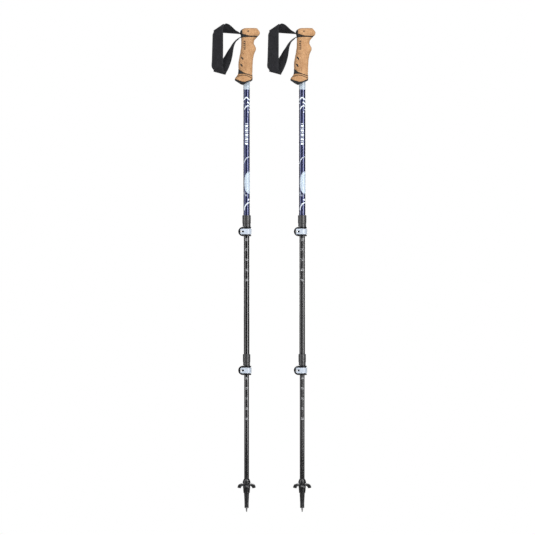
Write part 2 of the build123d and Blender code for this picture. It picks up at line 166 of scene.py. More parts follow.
def fade(value, start, end):
    """0 at start, rising evenly to 1 at end, and level beyond them."""
    return min(max((value - start) / (end - start), 0), 1)


def wrap(radius, s, z):
    """A point on a tube, s millimetres round from its front."""
    angle = s / radius
    return (radius * math.sin(angle), -radius * math.cos(angle), z)


# Materials


class Shader:
    """A Principled material under construction, with short ways to add and join nodes."""

    def __init__(self, name, **inputs):
        self.material = bpy.data.materials.new(name)
        self.material.use_nodes = True
        self.tree = self.material.node_tree
        self.surface = self.tree.nodes["Principled BSDF"]
        for key, value in inputs.items():
            self.surface.inputs[key.replace("_", " ")].default_value = value

    def node(self, kind, **settings):
        """Adds a node; each setting is one of the node's own properties, or else one of its inputs."""
        made = self.tree.nodes.new(kind)
        for key, value in settings.items():
            if hasattr(made, key):
                setattr(made, key, value)
            else:
                made.inputs[key].default_value = value
        return made

    def join(self, output, target):
        """Links an output to an input socket."""
        self.tree.links.new(output, target)

    def where(self, kind="Object"):
        """The texture coordinate output of one kind."""
        return self.node("ShaderNodeTexCoord").outputs[kind]

    def noise(self, scale, detail=4.0, roughness=0.55, at=None):
        """The height of a noise with that many grains to the metre."""
        made = self.node("ShaderNodeTexNoise", Scale=scale, Detail=detail, Roughness=roughness)
        self.join(at or self.where(), made.inputs["Vector"])
        return made.outputs["Fac"]

    def ramp(self, value, stops):
        """Colours at places from 0 to 1 along a value."""
        made = self.node("ShaderNodeValToRGB")
        elements = made.color_ramp.elements
        while len(elements) < len(stops):
            elements.new(0.5)
        for element, (place, colour) in zip(elements, stops):
            element.position = place
            element.color = (*colour, 1)
        self.join(value, made.inputs["Fac"])
        return made.outputs["Color"]

    def mix(self, factor, a, b, blend="MIX"):
        """Mixes two colours by a value."""
        made = self.node("ShaderNodeMix", data_type="RGBA", blend_type=blend)
        for socket, value in ((made.inputs[0], factor), (made.inputs[6], a), (made.inputs[7], b)):
            if isinstance(value, bpy.types.NodeSocket):
                self.join(value, socket)
            else:
                socket.default_value = value if socket == made.inputs[0] else (*value, 1)
        return made.outputs[2]

    def range(self, value, low, high, new_low, new_high):
        """Maps a value from one range to another, clamped."""
        made = self.node("ShaderNodeMapRange")
        for i, number in enumerate((low, high, new_low, new_high)):
            made.inputs[i + 1].default_value = number
        self.join(value, made.inputs[0])
        return made.outputs[0]

    def math(self, operation, a, b=0.0):
        """One sum on values."""
        made = self.node("ShaderNodeMath", operation=operation)
        for socket, value in zip(made.inputs, (a, b)):
            if isinstance(value, bpy.types.NodeSocket):
                self.join(value, socket)
            else:
                socket.default_value = value
        return made.outputs[0]

    def recess_shade(self, reach_mm, darkest):
        """Painted shade from ambient occlusion: white on open surfaces, down to a grey in grooves and
        seams narrower than reach_mm.
        """
        made = self.node("ShaderNodeAmbientOcclusion", samples=8, Distance=reach_mm * MM)
        return self.ramp(made.outputs["AO"], [(0.45, (darkest,) * 3), (0.95, (1.0, 1.0, 1.0))])

    def relief(self, heights, edge_mm=0.0):
        """Bumps of (height value, depth in millimetres), over edges softened by edge_mm."""
        normal = None
        if edge_mm:
            normal = self.node("ShaderNodeBevel", samples=6, Radius=edge_mm * MM).outputs[0]
        for height, depth in heights:
            bump = self.node("ShaderNodeBump", Distance=depth * MM, Strength=1.0)
            self.join(height, bump.inputs["Height"])
            if normal:
                self.join(normal, bump.inputs["Normal"])
            normal = bump.outputs[0]
        self.join(normal, self.surface.inputs["Normal"])

    def set(self, name, value):
        """Drives one input of the surface."""
        self.join(value, self.surface.inputs[name])


def cork():
    """Cork composite: pressed granules in warm tans, with darker flecks, a ground surface and painted
    shade in its grooves and seams.
    """
    s = Shader("cork", IOR=1.4, Specular_IOR_Level=0.3)
    cells = s.node("ShaderNodeTexVoronoi", Scale=1150.0, Randomness=1.0)
    warped = s.node("ShaderNodeVectorMath", operation="ADD")
    s.join(s.where(), warped.inputs[0])
    wobble = s.node("ShaderNodeTexNoise", Scale=900.0, Detail=2.0)
    s.join(s.where(), wobble.inputs["Vector"])
    nudge = s.node("ShaderNodeVectorMath", operation="SCALE", Scale=0.0012)
    s.join(wobble.outputs["Color"], nudge.inputs[0])
    s.join(nudge.outputs[0], warped.inputs[1])
    s.join(warped.outputs[0], cells.inputs["Vector"])
    shade = s.node("ShaderNodeSeparateColor")
    s.join(cells.outputs["Color"], shade.inputs[0])
    tans = [(0.0, (0.31, 0.162, 0.076)), (0.35, (0.41, 0.231, 0.113)), (1.0, (0.50, 0.303, 0.158))]
    grains = s.ramp(shade.outputs[0], tans)
    broad = s.ramp(s.noise(60, 3), [(0.35, (0.84, 0.80, 0.76)), (0.65, (1.0, 1.0, 1.0))])
    colour = s.mix(1.0, grains, broad, "MULTIPLY")
    flecks = s.range(s.noise(1500, 3, 0.6), 0.62, 0.68, 0.0, 0.75)
    colour = s.mix(flecks, colour, (0.20, 0.09, 0.035))
    # painted shade: the cork darkens in its grooves and seams
    colour = s.mix(1.0, colour, s.recess_shade(3.0, 0.3), "MULTIPLY")
    s.set("Base Color", colour)
    s.set("Roughness", s.range(s.noise(800, 2), 0.3, 0.7, 0.62, 0.85))
    s.relief([(cells.outputs["Distance"], 0.05), (s.noise(2600, 4), 0.05), (flecks, -0.05)])
    return s.material


def rubber():
    """Black moulded rubber with a fine matt grain."""
    s = Shader("grip_rubber", Specular_IOR_Level=0.28)
    s.set("Base Color", s.ramp(s.noise(900, 3), [(0.3, (0.006,) * 3), (0.7, (0.0108,) * 3)]))
    s.set("Roughness", s.range(s.noise(300, 3), 0.3, 0.7, 0.5, 0.68))
    s.relief([(s.noise(2500, 3), 0.03)], 0.25)
    return s.material


def plastic(name, colour, rough, grain=0.02):
    """Moulded plastic: fine spark-eroded grain, a little handling wear and soft edges."""
    s = Shader(name)
    light = tuple(min(1.0, c * 1.25 + 0.004) for c in colour)
    s.set("Base Color", s.ramp(s.noise(120, 4), [(0.35, colour), (0.7, light)]))
    s.set("Roughness", s.range(s.noise(240, 5), 0.3, 0.7, rough - 0.07, rough + 0.09))
    s.relief([(s.noise(3200, 2), grain)], 0.3)
    return s.material


def clamp_plastic():
    """The clamp body's plastic: a satin grey sleeve over a nearly black collar."""
    s = Shader("clamp_plastic")
    parts = s.node("ShaderNodeSeparateXYZ")
    s.join(s.where("Generated"), parts.inputs[0])
    sleeve = s.range(parts.outputs[2], 0.44, 0.46, 0.0, 1.0)
    grey = s.ramp(s.noise(120, 4), [(0.35, (0.024, 0.024, 0.025)), (0.7, (0.034, 0.034, 0.036))])
    s.set("Base Color", s.mix(sleeve, (0.005, 0.005, 0.006), grey))
    s.set("Roughness", s.range(s.noise(240, 5), 0.3, 0.7, 0.3, 0.44))
    s.set("Specular IOR Level", s.range(sleeve, 0.0, 1.0, 0.25, 0.5))
    s.relief([(s.noise(3200, 2), 0.015)], 0.3)
    return s.material


def tube_finish(name, dark, light, rough):
    """Anodised aluminium tube: drawn lines along its length, faint scuffs, clear top coat."""
    s = Shader(name, Metallic=0.65, Coat_Weight=0.6, Coat_Roughness=0.1)
    stretched = s.node("ShaderNodeMapping")
    stretched.inputs["Scale"].default_value = (1.0, 1.0, 0.02)
    s.join(s.where(), stretched.inputs["Vector"])
    drawn = s.noise(2600, 3, 0.6, stretched.outputs[0])
    s.set("Base Color", s.ramp(drawn, [(0.3, dark), (0.7, light)]))
    scuffs = s.range(s.noise(45, 6, 0.7), 0.55, 0.75, 0.0, 0.12)
    s.set("Roughness", s.math("ADD", s.range(drawn, 0.3, 0.7, rough - 0.04, rough + 0.05), scuffs))
    s.relief([(drawn, 0.006)])
    return s.material


def metal(name, shade, rough):
    """Bare turned metal with fine lines."""
    s = Shader(name, Metallic=1.0)
    s.set("Base Color", s.ramp(s.noise(700, 4), [(0.3, (shade * 0.85,) * 3), (0.7, (shade,) * 3)]))
    s.set("Roughness", s.range(s.noise(1800, 3), 0.3, 0.7, rough - 0.06, rough + 0.1))
    s.relief([(s.noise(4000, 2), 0.01)], 0.15)
    return s.material


def webbing():
    """Black woven polyester webbing: ribs across, warp threads along, and soft fibre sheen."""
    s = Shader("webbing", Sheen_Weight=0.1, Sheen_Roughness=0.5, Specular_IOR_Level=0.22)
    s.surface.inputs["Sheen Tint"].default_value = (0.5, 0.52, 0.56, 1)
    parts = s.node("ShaderNodeSeparateXYZ")
    s.join(s.where("UV"), parts.inputs[0])
    along, across = parts.outputs[0], parts.outputs[1]
    rib = s.math("SINE", s.math("MULTIPLY", along, 2 * math.pi / (1.15 * MM)))
    row = s.math("SINE", s.math("MULTIPLY", across, 2 * math.pi / (1.5 * MM)))
    twill = s.math("SINE", s.math("MULTIPLY", s.math("ADD", along, across), 2 * math.pi / (1.6 * MM)))
    weave = s.math("ADD", s.math("MULTIPLY", rib, row), s.math("MULTIPLY", twill, 0.5))
    level = s.range(weave, -1.3, 1.3, 0.0, 1.0)
    base = s.ramp(level, [(0.1, (0.003, 0.003, 0.004)), (0.9, (0.013, 0.013, 0.0155))])
    dust = s.ramp(s.noise(70, 5, 0.6), [(0.4, (0.75, 0.75, 0.78)), (0.7, (1.25, 1.25, 1.3))])
    s.set("Base Color", s.mix(1.0, base, dust, "MULTIPLY"))
    s.set("Roughness", s.range(s.noise(300, 3), 0.3, 0.7, 0.7, 0.92))
    s.relief([(level, 0.16), (s.noise(5000, 2), 0.05)])
    return s.material


BACKDROP_GLARE = 1.0  # how bright the camera sees the backdrop


def glare_for_camera(tree, strength):
    """A brightness that is BACKDROP_GLARE to the camera and strength to everything else."""
    path = tree.nodes.new("ShaderNodeLightPath")
    level = tree.nodes.new("ShaderNodeMapRange")
    level.inputs["To Min"].default_value = strength
    level.inputs["To Max"].default_value = BACKDROP_GLARE
    tree.links.new(path.outputs["Is Camera Ray"], level.inputs["Value"])
    return level.outputs["Result"]


def flat_white(name, strength):
    """A plain white that gives the object only a soft light."""
    material = bpy.data.materials.new(name)
    material.use_nodes = True
    nodes = material.node_tree.nodes
    nodes.clear()
    output = nodes.new("ShaderNodeOutputMaterial")
    glow = nodes.new("ShaderNodeEmission")
    glow.inputs["Color"].default_value = (1, 1, 1, 1)
    links = material.node_tree.links
    links.new(glare_for_camera(material.node_tree, strength), glow.inputs["Strength"])
    links.new(glow.outputs[0], output.inputs["Surface"])
    return material


CORK = cork()
RUBBER = rubber()
CLAMP_PLASTIC = clamp_plastic()
TIP_PLASTIC = plastic("tip_plastic", (0.006, 0.006, 0.007), 0.30)
DARK_STEEL = metal("dark_steel", 0.12, 0.35)
BUSH_PLASTIC = plastic("bush_plastic", (0.08, 0.08, 0.085), 0.5)
LEVER_PLASTIC = plastic("lever_plastic", (0.37, 0.415, 0.48), 0.33, 0.008)
NAVY = tube_finish("navy_tube", (0.011, 0.016, 0.058), (0.022, 0.029, 0.094), 0.24)
BLACK = tube_finish("black_tube", (0.006, 0.006, 0.007), (0.016, 0.016, 0.017), 0.22)
PRINT = plastic("print_pale", (0.62, 0.68, 0.74), 0.35, 0.004)
PALE_PATCH = plastic("pale_patch", (0.37, 0.44, 0.52), 0.35, 0.004)
PALE_PAINT = plastic("pale_paint", (0.31, 0.365, 0.42), 0.25, 0.004)
SCALE_PRINT = plastic("scale_print", (0.50, 0.51, 0.53), 0.4, 0.004)
STEEL = metal("bare_steel", 0.55, 0.28)
CARBIDE = metal("carbide", 0.22, 0.38)
NUT_METAL = metal("nut_metal", 0.5, 0.32)
WEBBING = webbing()
THREAD = plastic("thread", (0.05, 0.052, 0.057), 0.75)

# Tubes and their prints

TUBE_WALL = 0.7
TUBE_EASE = 0.15  # the bevel at a tube's ends
TUBE_AROUND = 128
PRINT_LIFT = 0.04
PRINT_DEPTH = 0.15  # how far a print's skin reaches into the tube
TEXT_LIFT = 0.1  # keeps the digits' flat faces from dipping into the round tube
DISC_RINGS = 24
RING_STEPS = 48
STROKE_STEPS = 6  # quads across a stroke
CURVE_STEPS = 8  # points on a smooth line for each given one


def tube(radius, low, high):
    """A thin tube with slightly eased ends."""
    inner = radius - TUBE_WALL
    outline = [(inner, low), (radius - TUBE_EASE, low), (radius, low + TUBE_EASE)]
    outline += [(radius, high - TUBE_EASE), (radius - TUBE_EASE, high), (inner, high)]
    return lathe(outline, TUBE_AROUND)


def ribbon(line, width, closed=False):
    """A flat stroke of one width along (s, z) points, as pairs of edge points."""
    pairs = []
    count = len(line)
    for i, (s, z) in enumerate(line):
        before = line[(i - 1) % count if closed else max(i - 1, 0)]
        after = line[(i + 1) % count if closed else min(i + 1, count - 1)]
        ds, dz = after[0] - before[0], after[1] - before[1]
        size = math.hypot(ds, dz)
        ns, nz = -dz / size * width / 2, ds / size * width / 2
        pairs.append(((s + ns, z + nz), (s - ns, z - nz)))
    return pairs


def smooth_line(line):
    """More (s, z) points on a smooth curve through the given ones."""
    points = [Vector((s, z, 0)) for s, z in line]
    smooth = []
    for i in range(len(points) - 1):
        four = [points[min(max(k, 0), len(points) - 1)] for k in (i - 1, i, i + 1, i + 2)]
        smooth += [spline(four, step / CURVE_STEPS).xy[:] for step in range(CURVE_STEPS)]
    return smooth + [points[-1].xy[:]]


def spline(points, t):
    """A point between the middle two of four points, on a centripetal curve through them."""
    p0, p1, p2, p3 = points
    knots = [0.0]
    for a, b in zip(points, points[1:]):
        knots.append(knots[-1] + max((b - a).length, 1e-4) ** 0.5)
    t0, t1, t2, t3 = knots
    u = t1 + t * (t2 - t1)
    a1 = p0 * ((t1 - u) / (t1 - t0)) + p1 * ((u - t0) / (t1 - t0))
    a2 = p1 * ((t2 - u) / (t2 - t1)) + p2 * ((u - t1) / (t2 - t1))
    a3 = p2 * ((t3 - u) / (t3 - t2)) + p3 * ((u - t2) / (t3 - t2))
    b1 = a1 * ((t2 - u) / (t2 - t0)) + a2 * ((u - t0) / (t2 - t0))
    b2 = a2 * ((t3 - u) / (t3 - t1)) + a3 * ((u - t1) / (t3 - t1))
    return b1 * ((t2 - u) / (t2 - t1)) + b2 * ((u - t1) / (t2 - t1))


class Print:
    """Thin prints gathered on one tube."""

    def __init__(self, radius):
        self.radius = radius + PRINT_LIFT
        self.points = []
        self.faces = []

    def stroke(self, line, width, closed=False):
        """A stroke along (s, z) points, drawn as a smooth line that follows the tube."""
        if not closed:
            line = smooth_line(line)
        pairs = ribbon(line, width, closed)
        first = len(self.points)
        across = STROKE_STEPS + 1
        for (s1, z1), (s2, z2) in pairs:
            for k in range(across):
                t = k / STROKE_STEPS
                self.points.append(wrap(self.radius, s1 + t * (s2 - s1), z1 + t * (z2 - z1)))
        count = len(pairs)
        for i in range(count if closed else count - 1):
            a, b = first + across * i, first + across * ((i + 1) % count)
            self.faces += [(a + k, a + k + 1, b + k + 1, b + k) for k in range(STROKE_STEPS)]

    def ring(self, s, z, radius, width):
        """A circle round (s, z)."""
        line = []
        for i in range(RING_STEPS):
            angle = 2 * math.pi * i / RING_STEPS
            line.append((s + radius * math.cos(angle), z + radius * math.sin(angle)))
        self.stroke(line, width, True)

    def disc(self, s, z, half_width, half_height):
        """A filled ellipse round (s, z)."""
        first = len(self.points)
        for ring in range(DISC_RINGS + 1):
            share = max(ring, 0.01) / DISC_RINGS
            for j in range(RING_STEPS):
                angle = 2 * math.pi * j / RING_STEPS
                here = s + half_width * share * math.cos(angle)
                self.points.append(wrap(self.radius, here, z + half_height * share * math.sin(angle)))
        self.faces += grid_faces(DISC_RINGS + 1, RING_STEPS, first)

    def dot(self, s, z, radius):
        """A round dot."""
        self.ring(s, z, radius / 2, radius)

    def text(self, words, z, height):
        """Digits across the front of the tube."""
        curve = bpy.data.curves.new("digits", "FONT")
        curve.body = words
        curve.size = height * 1.4
        curve.align_x = "CENTER"
        curve.resolution_u = 3
        carrier = add_object("digits", curve)
        flat = carrier.to_mesh()
        first = len(self.points)
        self.points += [wrap(self.radius + TEXT_LIFT, v.co.x, z + v.co.y) for v in flat.vertices]
        self.faces += [[first + k for k in face.vertices] for face in flat.polygons]
        carrier.to_mesh_clear()
        bpy.data.objects.remove(carrier)

    def mesh(self, name, material):
        """The mesh of all prints so far, each a thin closed skin sunk into the tube."""
        count = len(self.points)
        sides = {(a, b) for face in self.faces for a, b in zip(face, (*face[1:], face[0]))}
        rims = sorted((a, b) for a, b in sides if (b, a) not in sides)
        deep = 1 - (PRINT_LIFT + PRINT_DEPTH) / self.radius
        below = [(x * deep, y * deep, z) for x, y, z in self.points]
        faces = [tuple(face) for face in self.faces]
        faces += [tuple(count + k for k in face[::-1]) for face in self.faces]
        faces += [(b, a, a + count, b + count) for a, b in rims]
        return mesh_of(name, self.points + below, faces, material)


def tubes():
    """The three tubes of each pole."""
    parts = [
        ("upper_tube", UPPER_RADIUS, UPPER_BOTTOM, UPPER_TOP, NAVY, "upper", "navy_tube"),
        ("middle_tube", MIDDLE_RADIUS, MIDDLE_BOTTOM, MIDDLE_TOP, BLACK, "middle", "black_tube"),
        ("lower_tube", LOWER_RADIUS, LOWER_BOTTOM, LOWER_TOP, BLACK, "lower", "black_tube"),
    ]
    for name, radius, low, high, material, body, slot in parts:
        points, faces = tube(radius, low, high)
        show(name, mesh_of(name, points, faces, material), body, [name])


PALE_BAND = (1047.7, 1074.0)
PATCH_PLACE = (7.4, 816.5)
PATCH_HALF_SIZE = (14.0, 28.0)

# Waves on the upper tube: the stroke's width, then its (s, z) points.
WAVES = [
    (3.0, [(-11.0, 1021.0), (-7.0, 1022.5), (-2.0, 1027.0), (1.0, 1027.6), (5.0, 1024.0), (12.0, 1021.5)]),
    (3.2, [(1.5, 1016.0), (5.0, 1015.0), (10.0, 1011.0), (15.0, 1011.0)]),
    (3.4, [(-13.0, 1017.5), (-9.5, 1013.5), (-7.5, 1014.5)]),
    (2.6, [(-5.6, 998.5), (-3.2, 1002.5), (0.8, 1006.6), (6.0, 1006.8), (12.0, 1003.0)]),
    (2.0, [(6.0, 999.0), (9.0, 997.5), (13.0, 999.0)]),
    (1.3, [(-11.0, 862.5), (-7.0, 866.0), (-4.0, 872.0), (0.5, 878.0), (8.0, 880.5)]),
    (2.6, [(-6.4, 748.0), (-4.6, 756.0), (-1.0, 762.0), (4.0, 766.0), (10.0, 767.0)]),
]
DOTS = [(4.4, 991.4, 1.5), (5.6, 774.0, 2.4)]
RINGS = [(-6.8, 790.5, 2.2), (-1.5, 785.0, 2.0)]
RING_WIDTH = 0.6
BAR_COUNT = 5
BAR_LOW = 913.0
BAR_STEP = 11.0
BAR_REACH = 3.4
BAR_WIDTH = 4.6
LINE_ABOVE_BAR = 5.6
LINE_WIDTH = 1.4


def pale_band():
    """The pale band under the grip."""
    low, high = PALE_BAND
    inner, outer = UPPER_RADIUS - 0.1, UPPER_RADIUS + PRINT_LIFT
    points, faces = lathe([(inner, low), (outer, low), (outer, high), (inner, high)], TUBE_AROUND)
    show("pale_band", mesh_of("pale_band", points, faces, PALE_PAINT), "upper")


def upper_patch():
    """The plain pale oval that wraps round the upper tube."""
    patch = Print(UPPER_RADIUS)
    patch.disc(*PATCH_PLACE, *PATCH_HALF_SIZE)
    show("upper_patch", patch.mesh("upper_patch", PALE_PATCH), "upper")


def upper_prints():
    """Plain waves, bars, rings and dots along the upper tube."""
    marks = Print(UPPER_RADIUS)
    for width, line in WAVES:
        marks.stroke(line, width)
    for i in range(BAR_COUNT):
        z = BAR_LOW + BAR_STEP * i
        marks.stroke([(-BAR_REACH, z), (-1.0, z), (1.0, z), (BAR_REACH, z)], BAR_WIDTH)
        z += LINE_ABOVE_BAR
        marks.stroke([(-BAR_REACH, z), (0.0, z), (BAR_REACH, z)], LINE_WIDTH)
    for s, z, radius in RINGS:
        marks.ring(s, z, radius, RING_WIDTH)
    for s, z, radius in DOTS:
        marks.dot(s, z, radius)
    show("upper_print", marks.mesh("upper_print", PRINT), "upper")


SCALE_TOP = 120
SCALE_STEP = 5
MARK_STEP = 25.05
MARK_COUNT = 5
MIDDLE_FIRST_MARK = 675.6
LOWER_FIRST_MARK = 331.6
TICK_REACH = 0.6  # of the tube's radius, each way
TICK_RISE = 1.9
TICK_WIDTH = 0.5
DIGIT_DROP = 3.0
DIGIT_HEIGHT = 3.6


def scale_prints():
    """Length marks down the middle and lower tubes: a tick over the pole's length in centimetres."""
    for name, radius, first in (
        ("middle", MIDDLE_RADIUS, MIDDLE_FIRST_MARK),
        ("lower", LOWER_RADIUS, LOWER_FIRST_MARK),
    ):
        marks = Print(radius)
        reach = radius * TICK_REACH
        for i in range(MARK_COUNT):
            z = first - i * MARK_STEP
            tick = z + TICK_RISE
            marks.stroke([(-reach, tick), (0, tick), (reach, tick)], TICK_WIDTH)
            marks.text(str(SCALE_TOP - i * SCALE_STEP), z - DIGIT_DROP, DIGIT_HEIGHT)
        show(f"{name}_scale", marks.mesh(f"{name}_scale", SCALE_PRINT), name)


tubes()
pale_band()
upper_patch()
upper_prints()
scale_prints()

# Grip

# The grip's outside at each height: z, rear x, front x and half width in y.
SECTIONS = [
    (1056.0, -27.8, 12.6, 15.0),
    (1067.0, -28.4, 13.4, 16.4),
    (1072.0, -29.3, 14.6, 16.8),
    (1076.0, -28.4, 15.0, 16.2),
    (1081.0, -24.4, 14.8, 15.0),
    (1087.0, -21.3, 14.3, 14.2),
    (1095.0, -20.5, 14.7, 14.0),
    (1105.0, -20.7, 15.0, 14.1),
    (1115.0, -20.5, 15.5, 14.3),
    (1124.0, -18.9, 16.3, 14.3),
    (1132.0, -17.5, 17.9, 14.1),
    (1140.0, -15.8, 20.3, 14.0),
    (1145.5, -14.9, 23.0, 13.9),
    (1150.0, -14.0, 23.3, 13.7),
    (1156.0, -13.6, 20.8, 13.5),
    (1162.0, -13.5, 18.0, 13.3),
    (1168.0, -13.4, 18.6, 13.4),
    (1174.5, -13.5, 23.1, 13.9),
    (1180.0, -14.2, 28.6, 14.8),
    (1184.5, -15.5, 32.2, 15.6),
    (1188.0, -15.8, 33.1, 15.9),
    (1192.5, -15.0, 31.6, 15.2),
    (1196.5, -11.8, 28.4, 13.0),
    (1199.0, -8.0, 26.6, 10.4),
    (1200.0, -4.7, 25.0, 8.0),
]
GRIP_POWER = 2.35  # 2 would make each section an ellipse; more squares it off
GRIP_AROUND = 160
GRIP_ANGLES = [2 * math.pi * j / GRIP_AROUND for j in range(GRIP_AROUND)]
SEAM_DEPTH = 0.35
SEAM_EASE = 0.45
SEAM_SHOULDER = 0.1
HEAD_DROP = 0.1  # how far the head's top stays under the CAD's
HIDDEN_DEPTH = 2.4  # how far a layer's inner wall lies under its outside

# Side-view lines (x, z) between the grip's layers, from rear to front.
RIM_BASE = [(-32, 1071.4), (-27, 1069.0), (-9.2, 1060.2), (12.6, 1069.6), (16, 1071.2)]
FOOT_BASE = [(-32, 1075.6), (-27.6, 1073.2), (-16, 1068.6), (-5.5, 1066.2), (6, 1069.6), (16, 1074.4)]
GROOVE_BASE = [(-30, 1077.2), (-25, 1078.0), (-20, 1079.8), (-13, 1081.6)]
GROOVE_BASE += [(-7.4, 1082.0), (1.5, 1080.2), (11.2, 1075.8), (16, 1074.0)]
GROOVE_TOP = [(x, z + 1.4) for x, z in GROOVE_BASE]
INLAY_BASE = [(-22, 1085.6), (-17.9, 1085.9), (-9, 1086.2), (-1, 1084.6), (11.2, 1081.2), (16, 1080.2)]
BODY_BASE = [(-22, 1099.0), (-17.6, 1096.2), (-13, 1092.6), (-9, 1089.9)]
BODY_BASE += [(-1, 1086.8), (11.2, 1083.0), (16, 1082.0)]
COLLAR_BASE = [(-16, 1175.6), (-10, 1176.4), (10, 1177.6), (26, 1177.2)]
HEAD_BASE = [(-17, 1188.0), (-11.7, 1186.2), (-3, 1183.2), (6, 1180.8), (22.3, 1180.0), (34, 1179.6)]


def between(table, key, column):
    """A smooth value from the rows of a table, by the row's first entry."""
    last = len(table) - 1
    i = 0
    while i < last - 1 and key > table[i + 1][0]:
        i += 1
    x0, x1 = table[i][0], table[i + 1][0]
    y0, y1 = table[i][column], table[i + 1][column]
    step = (y1 - y0) / (x1 - x0)

    def slope(k):
        """Slope at a row that never makes the curve overshoot its rows."""
        if k in (0, last):
            return step
        left = (table[k][column] - table[k - 1][column]) / (table[k][0] - table[k - 1][0])
        right = (table[k + 1][column] - table[k][column]) / (table[k + 1][0] - table[k][0])
        return 0.0 if left * right <= 0 else 2 * left * right / (left + right)

    t = min(max((key - x0) / (x1 - x0), 0.0), 1.0)
    width = x1 - x0
    return (
        y0 * (1 + 2 * t) * (1 - t) ** 2
        + slope(i) * width * t * (1 - t) ** 2
        + y1 * t * t * (3 - 2 * t)
        + slope(i + 1) * width * t * t * (t - 1)
    )


def section(z):
    """Middle, half length and half width of the grip at a height."""
    rear, front, half_width = (between(SECTIONS, z, k) for k in (1, 2, 3))
    return (rear + front) / 2, (front - rear) / 2, half_width


def on_grip(angle, z, depth=0.0):
    """A point on the grip's outside; angle 0 is the front, 90 degrees the side that faces -Y."""
    middle, half_length, half_width = section(z)
    c, s = math.cos(angle), math.sin(angle)
    power = 2 / GRIP_POWER
    x = middle + (half_length - depth) * math.copysign(abs(c) ** power, c)
    y = -(half_width - depth) * math.copysign(abs(s) ** power, s)
    return x, y, z


def beside(x, z, side, lift=0.0):
    """The point on the grip's side at x and z; side is -1 for the side at -Y and 1 for +Y."""
    middle, half_length, half_width = section(z)
    part = min(abs(x - middle) / half_length, 0.999)
    return x, side * (half_width * (1 - part**GRIP_POWER) ** (1 / GRIP_POWER) + lift), z


def bump(value, half_width):
    """1 at 0, falling smoothly to 0 at half_width."""
    return 0.5 + 0.5 * math.cos(math.pi * min(abs(value) / half_width, 1.0))


SLOTS = [(-10.7, 1124.8), (-12.6, 1107.4)]  # middles of the dark slanted pads in the palm, side view
RIDGE_STEP = 4.2
RIDGE_SLANT = 0.8
RIDGE_MIDDLE_X = -7
RIDGE_DEPTH = 0.85
FINGER_STEP = 14.0
FINGER_DEPTH = 0.22
FACET_X = 7.5
FACET_HALF_WIDTH = 2.6
FACET_DEPTH = 0.6
PIN_X, PIN_Z = 4.0, 1191.6
DISH_X, DISH_Z = 5.5, 1190.8
DISH_HALF_SIZE = (13.0, 5.4)
DISH_DEPTH = 1.8


def palm_ridges(x, z):
    """Depth of the chevron grooves in the palm's lower part, which die out round the slanted pads."""
    reach = fade(z, 1143, 1139) * fade(z, 1088, 1093) * fade(x, 3.0, 0.0)
    for slot_x, slot_z in SLOTS:
        reach *= fade(math.hypot((x - slot_x) / 5.0, (z - slot_z) / 7.5), 1.1, 1.4)
    phase = (z - RIDGE_SLANT * abs(x - RIDGE_MIDDLE_X)) / RIDGE_STEP
    return RIDGE_DEPTH * reach * (0.5 + 0.5 * math.sin(2 * math.pi * phase)) ** 1.6


def finger_rings(x, z):
    """Depth of the shallow grooves on the finger side of the lower grip."""
    reach = fade(z, 1140, 1134) * fade(z, 1096, 1102) * fade(x, 4.0, 9.0)
    return FINGER_DEPTH * reach * (0.5 + 0.5 * math.cos(2 * math.pi * z / FINGER_STEP))


def facet(x, z):
    """Depth of the soft upright valley between the palm and the fingers."""
    reach = fade(z, 1150, 1130) * fade(z, 1090, 1100)
    return FACET_DEPTH * reach * bump(x - FACET_X, FACET_HALF_WIDTH)


def body_relief(x, z):
    """Depth of all relief on the grip's body."""
    return palm_ridges(x, z) + finger_rings(x, z) + facet(x, z)


def head_relief(x, z):
    """Depth of the oval dish at each side of the head, round the cross pin."""
    half_x, half_z = DISH_HALF_SIZE
    return DISH_DEPTH * bump(math.hypot((x - DISH_X) / half_x, (z - DISH_Z) / half_z), 1.0)


def no_relief(x, z):
    """A plain surface."""
    return 0.0


def height_on(line, angle):
    """Where a side-view line crosses the grip's outside at an angle."""
    z = between(line, 0.0, 1)
    for _ in range(12):
        z = 0.5 * z + 0.5 * between(line, on_grip(angle, z)[0], 1)
    return z


def heights_on(line):
    """Where a side-view line crosses the grip's outside at each of its angles."""
    return [height_on(line, angle) for angle in GRIP_ANGLES]


def layer_stations(rings, hollow):
    """A layer's rings from bottom to top: where they are measured from, a value and a depth."""
    seam = [(0.0, HIDDEN_DEPTH), (0.0, SEAM_DEPTH), (SEAM_EASE * 0.4, SEAM_SHOULDER)]
    stations = [("low", rise, depth) for rise, depth in seam]
    stations += [("part", i / rings, 0.0) for i in range(rings + 1)]
    stations += [("high", -rise, depth) for rise, depth in seam[::-1]]
    if hollow:
        inner = max(rings // 3, 2)
        stations += [("part", 1 - i / inner, HIDDEN_DEPTH) for i in range(inner + 1)]
        stations += stations[:1]
    return stations


def layer(name, low_line, high_line, rings, material, relief=no_relief):
    """A layer of the grip between two side-view lines, with eased seams; no high line makes the top."""
    low = heights_on(low_line)
    high = heights_on(high_line) if high_line else [GRIP_TOP - HEAD_DROP] * GRIP_AROUND
    stations = layer_stations(rings, bool(high_line))
    points = []
    for kind, value, depth in stations:
        for j, angle in enumerate(GRIP_ANGLES):
            if kind == "part":
                start, end = low[j] + SEAM_EASE, high[j] - SEAM_EASE
                z = start + value * (end - start)
            else:
                z = (low[j] if kind == "low" else high[j]) + value
            x, _, _ = on_grip(angle, z, depth)
            sunk = relief(x, z) if depth < HIDDEN_DEPTH else 0.0
            points.append(on_grip(angle, z, depth + sunk))
    make_faces = grid_faces if high_line else tube_faces
    return mesh_of(name, points, make_faces(len(stations), GRIP_AROUND), material, 60)


UNDERSIDE_RINGS = 8
UNDERSIDE_RISE = 1.2  # how far the underside sits above the rim's edge
UNDERSIDE_THICKNESS = 3.0


